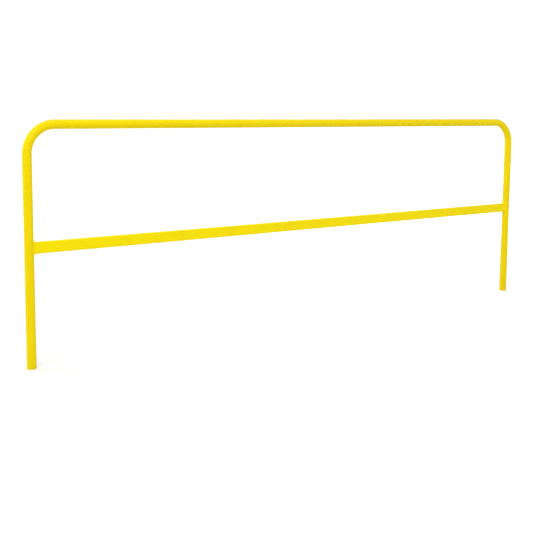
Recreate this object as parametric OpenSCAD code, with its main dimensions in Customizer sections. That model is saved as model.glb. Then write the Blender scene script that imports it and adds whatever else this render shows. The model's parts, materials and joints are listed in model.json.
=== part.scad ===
// Guard rail panel: one bent round tube, with a straight rectangular mid rail welded between its legs.
// Millimetres, +Z up, +X along the rail. The origin is midway between the legs, level with their sawn ends.

/* [Panel] */
// Length overall, outside to outside of the legs
panel_len = 3048; // [1200:1:3600]
// Height overall, sawn leg ends to the top of the top rail
panel_h = 1067; // [900:1:1200]

/* [Frame tube] */
// Outside diameter of the bent tube
tube_d = 41.3; // [32:0.1:60.3]
// Wall of the bent tube
tube_wall = 2.1; // [1.5:0.1:4]
// Radius of each bend, at the tube's centreline
bend_r = 124; // [90:1:250]
// Broken edge round each sawn leg end
end_break = 0.5; // [0.2:0.1:1]

/* [Mid rail] */
// Height of the mid rail's section
rail_h = 50.8; // [25.4:0.1:76.2]
// Depth of the mid rail's section, front to back
rail_d = 25.4; // [20:0.1:30]
// Wall of the mid rail
rail_wall = 2.1; // [1.5:0.1:4]
// Outside corner radius of the mid rail's section
rail_corner = 4.2; // [2.5:0.1:8]
// Height of the mid rail's centre above the leg ends
rail_z = 523; // [250:1:700]
// Fit-up gap between each coped end and the leg that it is welded to
cope_gap = 0.3; // [0:0.1:1]

/* [Welds] */
// Size of the fillet weld along the leg and along the mid rail
weld_leg = 5; // [3:0.1:8]
// Crown of the weld: how far its face stands out from flat
weld_crown = 0.7; // [0.2:0.1:1.5]

/* [Hidden] */

$fn = 96;
finish_yellow = [0.96, 0.84, 0.05];

tube_r = tube_d / 2;
bore_r = tube_r - tube_wall;
// Places of the leg axes, the top rail's axis and the ends of the straight runs
leg_x = panel_len / 2 - tube_r;
top_z = panel_h - tube_r;
bend_x = leg_x - bend_r;
bend_z = top_z - bend_r;
// Sharpest inner corner that the mid rail's section may have, and the one that it has
sharpest_corner = 0.3;
rail_inner_corner = max(rail_corner - rail_wall, sharpest_corner);
// How far a cut runs past the face that it opens
cut_past = 1;
// Height at which the swept weld rides over both skins, so that no flat facet of it cuts into a round one
weld_seat = 0.08;
// Steps of the weld sweep: round each corner, along each flat, over the crown and back along the leg's skin
corner_steps = 6;
flat_steps = 12;
crown_steps = 4;
skin_steps = 3;

// Ring of the bent tube's section
module tube_section() {
    difference() {
        circle(r = tube_r);
        circle(r = bore_r);
    }
}

// One straight leg, standing on its sawn end, with the edges of that end broken
module leg() {
    difference() {
        linear_extrude(bend_z) tube_section();
        translate([0, 0, -end_break])
            difference() {
                cylinder(h = 2 * end_break, r = tube_r + end_break);
                cylinder(h = 2 * end_break, r1 = tube_r - 2 * end_break, r2 = tube_r);
            }
        translate([0, 0, -end_break])
            cylinder(h = 2 * end_break, r1 = bore_r + 2 * end_break, r2 = bore_r);
    }
}

// Quarter bend that carries a leg at x = leg_x up and over into the top rail
module bend() {
    translate([bend_x, 0, bend_z])
        rotate([90, 0, 0])
            rotate_extrude(angle = 90)
                translate([bend_r, 0]) tube_section();
}

// The whole bent tube: both legs, both bends and the top rail
module frame_tube() {
    color(finish_yellow)
        union() {
            for (side = [0, 1])
                mirror([side, 0, 0]) {
                    translate([leg_x, 0, 0]) leg();
                    bend();
                }
            translate([-bend_x, 0, top_z])
                rotate([0, 90, 0])
                    linear_extrude(2 * bend_x) tube_section();
        }
}

// Rounded rectangle, wide in the first direction by tall in the second
module rounded_section(wide, tall, corner) {
    square([wide - 2 * corner, tall], center = true);
    square([wide, tall - 2 * corner], center = true);
    for (i = [-1, 1], j = [-1, 1])
        translate([i * (wide / 2 - corner), j * (tall / 2 - corner)])
            circle(r = corner);
}

// Solid bar of a rounded section along +X between two stations, at the mid rail's height
module rail_bar(from_x, to_x, tall, deep, corner) {
    translate([from_x, 0, rail_z])
        rotate([90, 0, 90])
            linear_extrude(to_x - from_x)
                rounded_section(deep, tall, corner);
}

// Rectangular mid rail, hollow, with a saddle coped in each end to seat on its leg
module mid_rail() {
    color(finish_yellow)
        difference() {
            rail_bar(-leg_x, leg_x, rail_h, rail_d, rail_corner);
            rail_bar(
                -leg_x - cut_past, leg_x + cut_past,
                rail_h - 2 * rail_wall, rail_d - 2 * rail_wall, rail_inner_corner
            );
            for (side = [-1, 1])
                translate([side * leg_x, 0, rail_z - rail_h])
                    cylinder(h = 2 * rail_h, r = tube_r + cope_gap);
        }
}

// Evenly spaced values from one number to another, without the last
function steps(from, to, count) = [for (i = [0:count - 1]) from + (to - from) * i / count];

// Walk round the mid rail's outline: each stop is [y, z, direction of its outward normal]
function corner_stops(y, z, start) =
    [for (a = steps(start, start + 90, corner_steps))
        [y + rail_corner * cos(a), z + rail_corner * sin(a), a]];
function flat_stops(from, to, normal) =
    [for (t = steps(0, 1, flat_steps)) [from[0] + (to[0] - from[0]) * t, from[1] + (to[1] - from[1]) * t, normal]];
function outline_stops() =
    let (
        y = rail_d / 2,
        z = rail_h / 2,
        yc = y - rail_corner,
        zc = z - rail_corner
    )
    concat(
        corner_stops(yc, zc, 0),
        flat_stops([yc, z], [-yc, z], 90),
        corner_stops(-yc, zc, 90),
        flat_stops([-y, zc], [-y, -zc], 180),
        corner_stops(-yc, -zc, 180),
        flat_stops([-yc, -z], [yc, -z], 270),
        corner_stops(yc, -zc, 270),
        flat_stops([y, -zc], [y, zc], 0)
    );

// Point of the weld: `along` the leg's skin away from the outline stop, and `up` out of that skin
function on_leg(stop, along, up) =
    let (
        turn = asin(stop[0] / tube_r) + along * cos(stop[2]) / tube_r * 180 / PI,
        reach = tube_r + up
    )
    [reach * cos(turn), reach * sin(turn), stop[1] + along * sin(stop[2])];

// Point of the weld: `along` the mid rail's skin away from the leg, and `up` out of that skin
function on_rail(stop, along, up) =
    [
        sqrt(tube_r * tube_r - stop[0] * stop[0]) + along,
        stop[0] + up * cos(stop[2]),
        stop[1] + up * sin(stop[2])
    ];

// One section of the bead: root, toe on the mid rail, crowned face, toe on the leg, back along the leg's skin
function bead_section(stop) =
    let (
        root = on_rail(stop, weld_seat, weld_seat),
        rail_toe = on_rail(stop, weld_leg, weld_seat),
        leg_toe = on_leg(stop, weld_leg, weld_seat),
        out = (rail_toe + leg_toe) / 2 - root,
        crown = out / norm(out) * weld_crown
    )
    concat(
        [root],
        [for (t = steps(0, 1, crown_steps)) rail_toe + (leg_toe - rail_toe) * t + crown * sin(180 * t)],
        [for (t = steps(1, 0, skin_steps)) on_leg(stop, weld_leg * t, weld_seat)]
    );

// Fillet weld all round the end of a mid rail that runs towards +X from a leg on the origin's axis
module fillet_weld() {
    stops = outline_stops();
    sections = [for (s = stops) bead_section(s)];
    rings = len(sections);
    sides = len(sections[0]);
    faces = [
        for (i = [0:rings - 1], j = [0:sides - 1])
            let (
                a = i * sides + j,
                b = i * sides + (j + 1) % sides,
                c = ((i + 1) % rings) * sides + (j + 1) % sides,
                d = ((i + 1) % rings) * sides + j
            )
            each [[a, c, b], [a, d, c]]
    ];
    polyhedron(points = [for (s = sections) each s], faces = faces, convexity = 6);
}

module weld_left() {
    color(finish_yellow)
        translate([-leg_x, 0, rail_z]) fillet_weld();
}

module weld_right() {
    color(finish_yellow)
        mirror([1, 0, 0])
            translate([-leg_x, 0, rail_z]) fillet_weld();
}

frame_tube();
mid_rail();
weld_left();
weld_right();
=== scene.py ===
"""Guard rail panel: one bent tube and a welded mid rail, in yellow powder coat, on a white floor."""
import json
import math

import bmesh
import bpy
from mathutils import Matrix, Vector, noise


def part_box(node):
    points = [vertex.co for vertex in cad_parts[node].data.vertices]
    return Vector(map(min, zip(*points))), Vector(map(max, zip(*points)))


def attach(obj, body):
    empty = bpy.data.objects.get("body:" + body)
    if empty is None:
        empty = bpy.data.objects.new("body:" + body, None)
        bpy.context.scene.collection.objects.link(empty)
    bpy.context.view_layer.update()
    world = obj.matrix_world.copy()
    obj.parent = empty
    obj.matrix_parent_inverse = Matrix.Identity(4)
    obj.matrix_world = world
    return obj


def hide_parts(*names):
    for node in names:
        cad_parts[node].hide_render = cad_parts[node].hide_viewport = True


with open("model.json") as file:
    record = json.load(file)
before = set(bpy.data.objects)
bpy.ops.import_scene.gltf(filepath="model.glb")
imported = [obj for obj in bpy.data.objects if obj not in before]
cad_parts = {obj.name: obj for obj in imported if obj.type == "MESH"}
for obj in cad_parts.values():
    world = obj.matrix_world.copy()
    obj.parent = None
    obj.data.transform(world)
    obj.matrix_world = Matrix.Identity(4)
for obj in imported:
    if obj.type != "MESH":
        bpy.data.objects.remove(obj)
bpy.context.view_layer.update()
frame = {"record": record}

MM = 0.001
QUARTER_TURN = math.radians(90)
WHOLE_TURN = math.radians(360)

# The panel's own sizes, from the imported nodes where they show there
tube_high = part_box("frame_tube")[1]
rail_low, rail_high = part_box("mid_rail")
leg_mount = next(m for m in frame["record"]["mounts"] if m["name"] == "leg_left")
tube_radius = leg_mount["dims"]["r_mm"] * MM
leg_x = tube_high.x - tube_radius
top_z = tube_high.z - tube_radius
rail_z = (rail_low.z + rail_high.z) / 2
rail_height = rail_high.z - rail_low.z
rail_depth = rail_high.y - rail_low.y
tube_wall = 2.1 * MM
bend_radius = 124 * MM
end_break = 0.5 * MM
rail_wall = 2.1 * MM
rail_corner = 4.2 * MM
cope_gap = 0.3 * MM
weld_leg = 5 * MM
weld_crown = 0.7 * MM

# How finely each piece is cut: sides and steps of the tube, corners, flats and bays of the rail
TUBE_SIDES = 72
BEND_STEPS = 36
STRAIGHT_BAYS = 8
END_BREAK_STEPS = 2
RAIL_CORNER_STEPS = 8
RAIL_FLAT_CUTS = 9
RAIL_BAYS = 16

# Points nearer than this are one point
SAME_POINT = 0.01 * MM
# Both ends of a circle's edge are as far from the leg's axis as each other, to within this
SAME_CIRCLE = 0.1 * MM
# A face whose middle lies deeper in the wall than this share of it is the bore's
BORE_DEPTH = 0.6
# An edge where two faces turn by this many degrees or more is kept crisp
CRISP_DEGREES = 35
WELD_CRISP_DEGREES = 75

# The weld's ripples: how many go round the rail, how they stand and curve, and how the hand wavered
RIPPLES = 70
RINGS_A_RIPPLE = 8
FACE_POINTS = 15
RIPPLE_HEIGHT = 0.28 * MM
RIPPLE_CURVE = 0.9
WAVER_SIZE = 9 * MM
TOE_WAVER = 0.09
CROWN_WAVER = 0.35
# The lumps where the bead stops and starts: how far behind the rail's middle, how high and how wide
RESTART_PLACE = 3 * MM
RESTART_HEIGHT = 0.55 * MM
RESTART_REACH = 4.5 * MM
# How far the bead's edges and its hidden root lie under the skins they join
TOE_SINK = 0.12 * MM
ROOT_SINK = 0.3 * MM

# The coat's colours: on the rail and the tube, and what they turn to where the film is thick or thin. The
# rail's is the tube's yellow painted lighter: painted light on its flat face
RAIL_YELLOW_PAINTED_LIGHTER = (0.955, 0.770, 0.0, 1.0)
TUBE_YELLOW = (0.885, 0.690, 0.0, 1.0)
DEEP_YELLOW = (0.86, 0.58, 0.0, 1.0)
THIN_YELLOW = (0.78, 0.60, 0.02, 1.0)
# How wide its changes of film, its patches, its orange peel and its grain are
FILM_SIZE = 120 * MM
PATCH_SIZE = 14 * MM
PEEL_SIZE = 2.6 * MM
GRAIN_SIZE = 0.5 * MM
# Where in the noise of film and patches, from 0 to 1, those colours start and are whole
THICK_FILM = (0.4, 0.8)
THIN_PATCH = (0.5, 0.8)
# How much of the deep colour thick film takes, and of the thin one patches and sawn rims take
THICK_SHARE = 0.25
PATCH_SHARE = 0.08
RIM_SHARE = 0.5
# The heights over a leg's end between which the film on the rim grows to its full thickness
RIM_THIN = 0.2 * MM
RIM_FULL = 1.6 * MM
# The relief of peel and grain, and the gloss with what film and patches add to its roughness
PEEL_SHARE = 0.8
GRAIN_SHARE = 0.2
RELIEF_STRENGTH = 0.4
RELIEF_DEPTH = 0.05 * MM
COAT_ROUGHNESS = 0.28
FILM_ROUGHENS = 0.08
PATCH_ROUGHENS = 0.06
COAT_SPECULAR = 0.08

# Powder in an open leg: where it starts to fail and where it ends, and how ragged that edge is
POWDER_WHOLE = 12 * MM
POWDER_GONE = 42 * MM
RAGGED_SIZE = 6 * MM
RAGGED_REACH = 12 * MM
# The bare tube above it, with mottled mill scale
SCALE_SIZE = 3 * MM
DARK_STEEL = (0.10, 0.10, 0.10, 1.0)
PALE_STEEL = (0.24, 0.23, 0.22, 1.0)
STEEL_METALLIC = 0.8
STEEL_ROUGHNESS = 0.45
SCALE_ROUGHENS = 0.2

# How strongly the white room lights the panel. The camera sees that room as plain white
ROOM_LIGHT = 0.37
# Each soft box: where it stands, how wide it is in metres, and its power in watts
SOFT_BOXES = {
    "overhead_box": ((-0.5, -0.8, 4.0), 5.0, 61),
    "key_box": ((-4.0, -4.0, 4.5), 3.0, 105),
    "left_box": ((-5.0, -1.5, 3.5), 3.0, 56),
    "right_box": ((4.0, -5.0, 2.0), 3.0, 74),
    "back_box": ((-4.0, 3.5, 2.5), 3.0, 92),
    "fill_box": ((3.0, 4.5, 3.0), 3.0, 70),
}

BLACK = (0.0, 0.0, 0.0, 1.0)
WHITE = (1.0, 1.0, 1.0, 1.0)
FLOOR_COLOUR = (0.8, 0.8, 0.8, 1.0)
# How far the floor runs each way
FLOOR_REACH = 60
# Where the lamps light the floor most, and how far it is lifted to white there and for each metre away
FLOOR_BRIGHTEST = (-3.0, -1.0, 0)
LIFT_THERE = 0.05
LIFT_A_METRE = 0.06
# How far from the panel's middle the floor starts to turn all white, and from where it is so
SHADOW_REACH = 2.5
ALL_WHITE_REACH = 5.0

# The camera that the photograph was taken with, fitted to the panel's edges in the 533 pixel frame
PHOTO_PIXELS = 533
CAMERA_PLACE = Vector((-2.665, -3.511, 1.115))
CAMERA_YAW = math.radians(-34.08)
CAMERA_PITCH = math.radians(-6.27)
CAMERA_ROLL = math.radians(-0.41)
FOCAL_PIXELS = 850
HORIZON_PIXEL = 202.9
SENSOR_WIDTH = 36
FARTHEST_SEEN = 200


def look_through_the_photo_camera():
    """Put the camera where the photograph's was, with a small shift that sets its frame's height."""
    data = bpy.data.cameras.new("photo_camera")
    data.sensor_width = SENSOR_WIDTH
    data.lens = FOCAL_PIXELS / PHOTO_PIXELS * data.sensor_width
    data.shift_y = (HORIZON_PIXEL - PHOTO_PIXELS / 2) / PHOTO_PIXELS
    data.clip_end = FARTHEST_SEEN
    camera = bpy.data.objects.new("photo_camera", data)
    bpy.context.scene.collection.objects.link(camera)
    turn = (
        Matrix.Rotation(CAMERA_YAW, 3, "Z")
        @ Matrix.Rotation(CAMERA_PITCH, 3, "X")
        @ Matrix.Rotation(CAMERA_ROLL, 3, "Y")
    )
    right, ahead, up = turn.col[0], turn.col[1], turn.col[2]
    placed = Matrix((right, up, -ahead)).transposed().to_4x4()
    placed.translation = CAMERA_PLACE
    camera.matrix_world = placed
    bpy.context.scene.camera = camera


class Wire:
    """A shader value that plain Python arithmetic can work on."""

    def __init__(self, finish, socket):
        self.finish = finish
        self.socket = socket

    def __add__(self, other):
        return self.finish.math("ADD", self, other)

    def __radd__(self, other):
        return self.finish.math("ADD", other, self)

    def __sub__(self, other):
        return self.finish.math("SUBTRACT", self, other)

    def __rsub__(self, other):
        return self.finish.math("SUBTRACT", other, self)

    def __mul__(self, other):
        return self.finish.math("MULTIPLY", self, other)

    def __rmul__(self, other):
        return self.finish.math("MULTIPLY", other, self)


class Finish:
    """A material being made: its nodes, and the one way to add another."""

    def __init__(self, tree):
        self.tree = tree
        self.tree.nodes.clear()

    def node(self, kind, inputs=None, settings=None, out=0):
        """Add a node: its own settings first, then the values or links of its sockets."""
        made = self.tree.nodes.new(kind)
        for name, value in (settings or {}).items():
            setattr(made, name, value)
        for name, value in (inputs or {}).items():
            if isinstance(value, Wire):
                self.tree.links.new(value.socket, made.inputs[name])
            else:
                made.inputs[name].default_value = value
        return Wire(self, made.outputs[out]) if made.outputs else None

    def math(self, operation, first, second=0.0, clamp=False):
        """Work on two values, each a number or a link."""
        settings = {"operation": operation, "use_clamp": clamp}
        return self.node("ShaderNodeMath", {0: first, 1: second}, settings)

    def ramp(self, value, low, high):
        """0 where the value is at or under low, 1 at or over high, and smooth between."""
        inputs = {"Value": value, "From Min": low, "From Max": high}
        return self.node("ShaderNodeMapRange", inputs, {"interpolation_type": "SMOOTHSTEP"})

    def blend(self, share, first, second):
        """Mix two colours by a share."""
        colour_factor, colour_a, colour_b, colour_out = 0, 6, 7, 2
        inputs = {colour_factor: share, colour_a: first, colour_b: second}
        return self.node("ShaderNodeMix", inputs, {"data_type": "RGBA"}, out=colour_out)

    def noise(self, place, size, detail=2.0):
        """Smooth noise whose lumps are about `size` metres across."""
        inputs = {"Vector": place, "Scale": 1 / size, "Detail": detail}
        return self.node("ShaderNodeTexNoise", inputs)


def new_finish(name):
    """An empty material, and the Finish that fills it."""
    material = bpy.data.materials.new(name)
    material.use_nodes = True
    return material, Finish(material.node_tree)


def powder_coat(name, yellow):
    """Semi-gloss powder coat: orange peel, small changes of film thickness, thin on the sawn rims."""
    material, coat = new_finish(name)
    place = coat.node("ShaderNodeTexCoord", out="Object")
    film = coat.noise(place, FILM_SIZE)
    patches = coat.noise(place, PATCH_SIZE, detail=3.0)
    height = coat.node("ShaderNodeSeparateXYZ", {"Vector": place}, out="Z")
    rim = 1 - coat.ramp(height, RIM_THIN, RIM_FULL)
    thick = coat.ramp(film, *THICK_FILM) * THICK_SHARE
    thin = coat.ramp(patches, *THIN_PATCH) * PATCH_SHARE + rim * RIM_SHARE
    colour = coat.blend(thin, coat.blend(thick, yellow, DEEP_YELLOW), THIN_YELLOW)
    peel = coat.noise(place, PEEL_SIZE, detail=1.5)
    grain = coat.noise(place, GRAIN_SIZE, detail=1.0)
    relief = {
        "Height": peel * PEEL_SHARE + grain * GRAIN_SHARE,
        "Strength": RELIEF_STRENGTH,
        "Distance": RELIEF_DEPTH,
    }
    look = {
        "Base Color": colour,
        "Roughness": COAT_ROUGHNESS + film * FILM_ROUGHENS + patches * PATCH_ROUGHENS,
        "Normal": coat.node("ShaderNodeBump", relief),
        "Specular IOR Level": COAT_SPECULAR,
    }
    shader = coat.node("ShaderNodeBsdfPrincipled", look)
    coat.node("ShaderNodeOutputMaterial", {"Surface": shader})
    return material


def bore_overspray():
    """Inside of an open leg: powder blown a little way in, then bare tube."""
    material, bore = new_finish("leg_bore_overspray")
    place = bore.node("ShaderNodeTexCoord", out="Object")
    height = bore.node("ShaderNodeSeparateXYZ", {"Vector": place}, out="Z")
    ragged = bore.noise(place, RAGGED_SIZE, detail=4.0) * RAGGED_REACH
    bare = bore.ramp(height + ragged, POWDER_WHOLE, POWDER_GONE)
    scale = bore.noise(place, SCALE_SIZE, detail=4.0)
    steel = bore.blend(scale, DARK_STEEL, PALE_STEEL)
    look = {
        "Base Color": bore.blend(bare, TUBE_YELLOW, steel),
        "Metallic": bare * STEEL_METALLIC,
        "Roughness": STEEL_ROUGHNESS + scale * SCALE_ROUGHENS,
    }
    shader = bore.node("ShaderNodeBsdfPrincipled", look)
    bore.node("ShaderNodeOutputMaterial", {"Surface": shader})
    return material


def made_object(name, bm, materials, crisp_degrees=CRISP_DEGREES):
    """Turn a finished bmesh into a smooth-shaded object at the origin, crisp only at its real edges."""
    crisp = math.radians(crisp_degrees)
    for face in bm.faces:
        face.smooth = True
    for edge in bm.edges:
        edge.smooth = len(edge.link_faces) != 2 or edge.calc_face_angle(0.0) < crisp
    mesh = bpy.data.meshes.new(name)
    bm.to_mesh(mesh)
    bm.free()
    for material in materials:
        mesh.materials.append(material)
    made = bpy.data.objects.new(name, mesh)
    bpy.context.scene.collection.objects.link(made)
    return made


def only(kind, geometry):
    """The edges, verts or faces in what an operator gives back."""
    return [g for g in geometry if isinstance(g, kind)]


def run_straight(bm, ring, travel, bays):
    """Carry a ring of edges straight along in bays, with a skin behind it, and return the last ring."""
    for _ in range(bays):
        moved = bmesh.ops.extrude_edge_only(bm, edges=ring)["geom"]
        verts = only(bmesh.types.BMVert, moved)
        bmesh.ops.translate(bm, verts=verts, vec=Vector(travel) / bays)
        ring = only(bmesh.types.BMEdge, moved)
    return ring


def run_bend(bm, ring, centre):
    """Carry a ring of edges a quarter turn about the Y direction, and return the last ring."""
    turn = {"axis": (0, 1, 0), "angle": QUARTER_TURN, "steps": BEND_STEPS}
    swung = bmesh.ops.spin(bm, geom=ring, cent=centre, **turn)
    return only(bmesh.types.BMEdge, swung["geom_last"])


def bent_frame_tube(coat, bore):
    """The legs, bends and top rail as one hollow tube, swept from the left leg's end to the right's."""
    bm = bmesh.new()
    start = Matrix.Translation((-leg_x, 0, 0))
    outline = {"radius": tube_radius, "segments": TUBE_SIDES, "matrix": start}
    made = bmesh.ops.create_circle(bm, cap_ends=False, **outline)
    ring = list({edge for vert in made["verts"] for edge in vert.link_edges})
    straight = top_z - bend_radius
    bend_x = leg_x - bend_radius
    ring = run_straight(bm, ring, (0, 0, straight), STRAIGHT_BAYS)
    ring = run_bend(bm, ring, (-bend_x, 0, straight))
    ring = run_straight(bm, ring, (2 * bend_x, 0, 0), 2 * STRAIGHT_BAYS)
    ring = run_bend(bm, ring, (bend_x, 0, straight))
    run_straight(bm, ring, (0, 0, -straight), STRAIGHT_BAYS)
    bmesh.ops.remove_doubles(bm, verts=bm.verts, dist=SAME_POINT)
    bmesh.ops.recalc_face_normals(bm, faces=bm.faces)
    bmesh.ops.solidify(bm, geom=bm.faces[:], thickness=tube_wall)
    rims = [edge for edge in bm.edges if is_sawn_rim(edge)]
    rounding = {"affect": "EDGES", "segments": END_BREAK_STEPS, "profile": 0.5, "material": -1}
    bmesh.ops.bevel(bm, geom=rims, offset=end_break, **rounding)
    mark_bore(bm)
    return made_object("bent_frame_tube", bm, [coat, bore])


def is_sawn_rim(edge):
    """Is this edge in one of the circles at a sawn end, and not a spoke between them?"""
    if any(v.co.z >= SAME_POINT for v in edge.verts):
        return False
    from_axis = [Vector((abs(v.co.x) - leg_x, v.co.y)).length for v in edge.verts]
    return abs(from_axis[0] - from_axis[1]) < SAME_CIRCLE


def mark_bore(bm):
    """Give the inner skin of the tube the second material."""
    inner = tube_radius - tube_wall * BORE_DEPTH
    for face in bm.faces:
        if distance_from_tube_line(face.calc_center_median()) < inner:
            face.material_index = 1


def distance_from_tube_line(point):
    """How far a point lies from the tube's centreline."""
    side = abs(point.x)
    bend_x = leg_x - bend_radius
    bend_z = top_z - bend_radius
    if point.z <= bend_z:
        return math.hypot(side - leg_x, point.y)
    if side <= bend_x:
        return math.hypot(point.z - top_z, point.y)
    reach = math.hypot(side - bend_x, point.z - bend_z)
    return math.hypot(reach - bend_radius, point.y)


def coped_mid_rail(coat):
    """Rectangular tube with round corners, its two ends slid onto the saddles that seat on the legs."""
    bm = bmesh.new()
    bmesh.ops.create_grid(bm, x_segments=1, y_segments=1, size=0.5)
    bmesh.ops.scale(bm, verts=bm.verts, vec=(rail_height, rail_depth, 1))
    corners = {"geom": bm.verts[:], "affect": "VERTICES", "segments": RAIL_CORNER_STEPS}
    bmesh.ops.bevel(bm, offset=rail_corner, profile=0.5, material=-1, **corners)
    bmesh.ops.delete(bm, geom=bm.faces[:], context="FACES_ONLY")
    flats = [e for e in bm.edges if e.calc_length() > rail_corner]
    bmesh.ops.subdivide_edges(bm, edges=flats, cuts=RAIL_FLAT_CUTS)
    bmesh.ops.rotate(bm, verts=bm.verts, matrix=Matrix.Rotation(QUARTER_TURN, 3, "Y"))
    bmesh.ops.translate(bm, verts=bm.verts, vec=(-leg_x, 0, rail_z))
    run_straight(bm, bm.edges[:], (2 * leg_x, 0, 0), RAIL_BAYS)
    bmesh.ops.recalc_face_normals(bm, faces=bm.faces)
    bmesh.ops.solidify(bm, geom=bm.faces[:], thickness=rail_wall)
    for vert in bm.verts:
        if abs(vert.co.x) > leg_x - tube_radius:
            vert.co.x = math.copysign(saddle_x(vert.co.y), vert.co.x)
    return made_object("coped_mid_rail", bm, [coat])


def saddle_x(y):
    """How far from the middle a coped end of the mid rail reaches, at this depth of its section."""
    return leg_x - math.sqrt((tube_radius + cope_gap) ** 2 - y ** 2)


def round_the_rail(share):
    """A share of the way round the rail's outline: its place, as (y, z), and the angle it faces."""
    half = Vector((rail_depth / 2 - rail_corner, rail_height / 2 - rail_corner))
    centres = [half, Vector((-half.x, half.y)), -half, Vector((half.x, -half.y))]
    arc = QUARTER_TURN * rail_corner
    left_to_go = share * (4 * (half.x + half.y) + 4 * arc)
    for quarter in range(4):
        angle = QUARTER_TURN * quarter
        flat = 2 * (half.x if quarter % 2 else half.y)
        if left_to_go < flat:
            along = Vector((-math.sin(angle), math.cos(angle)))
            flat_start = centres[quarter - 1] + rail_corner * facing(angle)
            return flat_start + left_to_go * along, angle
        left_to_go -= flat
        if left_to_go < arc:
            angle += left_to_go / rail_corner
            return centres[quarter] + rail_corner * facing(angle), angle
        left_to_go -= arc
    return round_the_rail(0)


def facing(angle):
    """Unit step in the rail's section, as (y, z), at an angle from +Y."""
    return Vector((math.cos(angle), math.sin(angle)))


def on_rail(stop, angle, along, up):
    """Point `along` the rail's skin away from a leg on the Z axis, and `up` out of that skin."""
    lifted = stop + up * facing(angle)
    return Vector((math.sqrt(tube_radius ** 2 - stop.x ** 2) + along, lifted.x, lifted.y))


def on_leg(stop, angle, along, up):
    """Point `along` the leg's skin away from the rail's outline, and `up` out of that skin."""
    turn = math.asin(stop.x / tube_radius) + along * math.cos(angle) / tube_radius
    reach = tube_radius + up
    height = stop.y + along * math.sin(angle)
    return Vector((reach * math.cos(turn), reach * math.sin(turn), height))


def restart_lump(stop):
    """Height of the lumps where the bead was stopped and started again, under and over the rail."""
    from_middle = math.hypot(stop.x - RESTART_PLACE, abs(stop.y) - rail_height / 2)
    return RESTART_HEIGHT * math.exp(-((from_middle / RESTART_REACH) ** 2))


def bead_point(share, across):
    """One point of the bead, a share of the way round the rail and across its face, or None: its root."""
    stop, angle = round_the_rail(share)
    if across is None:
        return on_rail(stop, angle, -ROOT_SINK, -ROOT_SINK)
    waver = noise.noise(Vector((stop.x, stop.y, 0)) / WAVER_SIZE)
    size = weld_leg * (1 + TOE_WAVER * waver)
    rail_toe = on_rail(stop, angle, size, -TOE_SINK)
    leg_toe = on_leg(stop, angle, size, -TOE_SINK)
    outward = ((rail_toe + leg_toe) / 2 - on_rail(stop, angle, 0, 0)).normalized()
    dome = math.sin(math.pi * across)
    ripple = abs(math.sin(math.pi * (share * RIPPLES + RIPPLE_CURVE * dome)))
    crown = weld_crown * (1 + CROWN_WAVER * waver) + restart_lump(stop)
    lift = crown * dome + RIPPLE_HEIGHT * (ripple - 0.5) * math.sqrt(dome)
    return rail_toe.lerp(leg_toe, across) + lift * outward


def weld_bead(name, side, coat):
    """Rippled fillet weld all round one end of the mid rail: a spun ring, each point set on the joint."""
    rings = RIPPLES * RINGS_A_RIPPLE
    section_points = FACE_POINTS + 1
    ring_radius = 2.0
    bm = bmesh.new()
    upright = Matrix.Translation((ring_radius, 0, 0)) @ Matrix.Rotation(QUARTER_TURN, 4, "X")
    section = {"radius": 1, "segments": section_points, "matrix": upright}
    bmesh.ops.create_circle(bm, cap_ends=False, **section)
    round_once = {"axis": (0, 0, 1), "angle": WHOLE_TURN, "steps": rings, "use_merge": True}
    bmesh.ops.spin(bm, geom=bm.edges[:], **round_once)
    for vert in bm.verts:
        out = math.hypot(vert.co.x, vert.co.y) - ring_radius
        ring = round(math.atan2(vert.co.y, vert.co.x) / WHOLE_TURN % 1 * rings) % rings
        turned = math.atan2(vert.co.z, out) / WHOLE_TURN % 1
        point = round(turned * section_points) % section_points
        across = None if point == 0 else (point - 1) / (FACE_POINTS - 1)
        place = bead_point(ring / rings, across)
        vert.co = Vector((side * (leg_x - place.x), place.y, rail_z + place.z))
    bmesh.ops.recalc_face_normals(bm, faces=bm.faces)
    if bm.calc_volume(signed=True) < 0:
        bmesh.ops.reverse_faces(bm, faces=bm.faces)
    return made_object(name, bm, [coat], crisp_degrees=WELD_CRISP_DEGREES)


def light_the_panel():
    """Soft studio light: a bright room, and wide soft boxes all round, the strongest high at the left."""
    world = bpy.data.worlds.new("studio_room")
    bpy.context.scene.world = world
    world.use_nodes = True
    room = Finish(world.node_tree)
    around = room.node("ShaderNodeBackground", {"Color": WHITE, "Strength": ROOM_LIGHT})
    seen = room.node("ShaderNodeBackground", {"Color": WHITE, "Strength": 1.0})
    mixed = room.node("ShaderNodeMixShader", {0: looked_at(room), 1: around, 2: seen})
    room.node("ShaderNodeOutputWorld", {"Surface": mixed})
    for name, (place, size, power) in SOFT_BOXES.items():
        soft_box(name, place, size, power)


def looked_at(finish):
    """1 for what the camera sees straight, in a gloss or through glass, and 0 for light on its way."""
    camera = finish.node("ShaderNodeLightPath", out="Is Camera Ray")
    glossy = finish.node("ShaderNodeLightPath", out="Is Glossy Ray")
    through = finish.node("ShaderNodeLightPath", out="Is Transmission Ray")
    return finish.math("ADD", camera + glossy, through, clamp=True)


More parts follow.
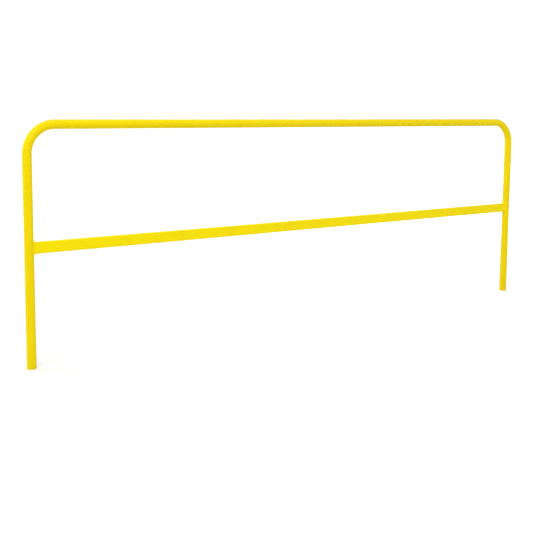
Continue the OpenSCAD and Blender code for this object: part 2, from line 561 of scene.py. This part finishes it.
def soft_box(name, place, size, power):
    """A square area light that faces the middle of the panel."""
    data = bpy.data.lights.new(name, "AREA")
    data.shape = "SQUARE"
    data.size = size
    data.energy = power
    lamp = bpy.data.objects.new(name, data)
    bpy.context.scene.collection.objects.link(lamp)
    lamp.location = place
    towards_panel = Vector((0, 0, top_z / 2)) - Vector(place)
    lamp.rotation_euler = towards_panel.to_track_quat("-Z", "Y").to_euler()


def white_floor():
    """Plain white floor that takes the panel's soft shadow, and is lifted to pure white away from it."""
    bm = bmesh.new()
    bmesh.ops.create_grid(bm, x_segments=1, y_segments=1, size=FLOOR_REACH)
    material, floor = new_finish("white_floor_finish")
    place = floor.node("ShaderNodeTexCoord", out="Object")
    ends = {0: place, 1: FLOOR_BRIGHTEST}
    away = floor.node("ShaderNodeVectorMath", ends, {"operation": "DISTANCE"}, out="Value")
    length = {"operation": "LENGTH"}
    from_panel = floor.node("ShaderNodeVectorMath", {0: place}, length, out="Value")
    far = floor.ramp(from_panel, SHADOW_REACH, ALL_WHITE_REACH)
    lift = floor.blend(away * LIFT_A_METRE + LIFT_THERE + far, BLACK, WHITE)
    diffuse = floor.node("ShaderNodeBsdfDiffuse", {"Color": FLOOR_COLOUR})
    lifted = floor.node("ShaderNodeEmission", {"Color": lift, "Strength": 1.0})
    seen = floor.node("ShaderNodeAddShader", {0: diffuse, 1: lifted})
    surface = floor.node("ShaderNodeMixShader", {0: looked_at(floor), 1: diffuse, 2: seen})
    floor.node("ShaderNodeOutputMaterial", {"Surface": surface})
    made_object("studio_floor", bm, [material])


def build_panel():
    """Make the four pieces, and say what each rides on, stands for and is finished in."""
    tube_coat = powder_coat("tube_powder_coat", TUBE_YELLOW)
    # The rail and the welds take the lighter yellow: painted light, standing in for the light the rail's
    # flat face catches
    rail_coat_painted_lighter = powder_coat("rail_powder_coat_painted_lighter", RAIL_YELLOW_PAINTED_LIGHTER)
    pieces = {
        "frame_tube": bent_frame_tube(tube_coat, bore_overspray()),
        "mid_rail": coped_mid_rail(rail_coat_painted_lighter),
        "weld_left": weld_bead("left_weld_bead", -1, rail_coat_painted_lighter),
        "weld_right": weld_bead("right_weld_bead", 1, rail_coat_painted_lighter),
    }
    for node_name, piece in pieces.items():
        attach(piece, "root")
        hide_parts(node_name)


look_through_the_photo_camera()
build_panel()
light_the_panel()
white_floor()

bpy.context.scene.view_settings.view_transform = "Standard"
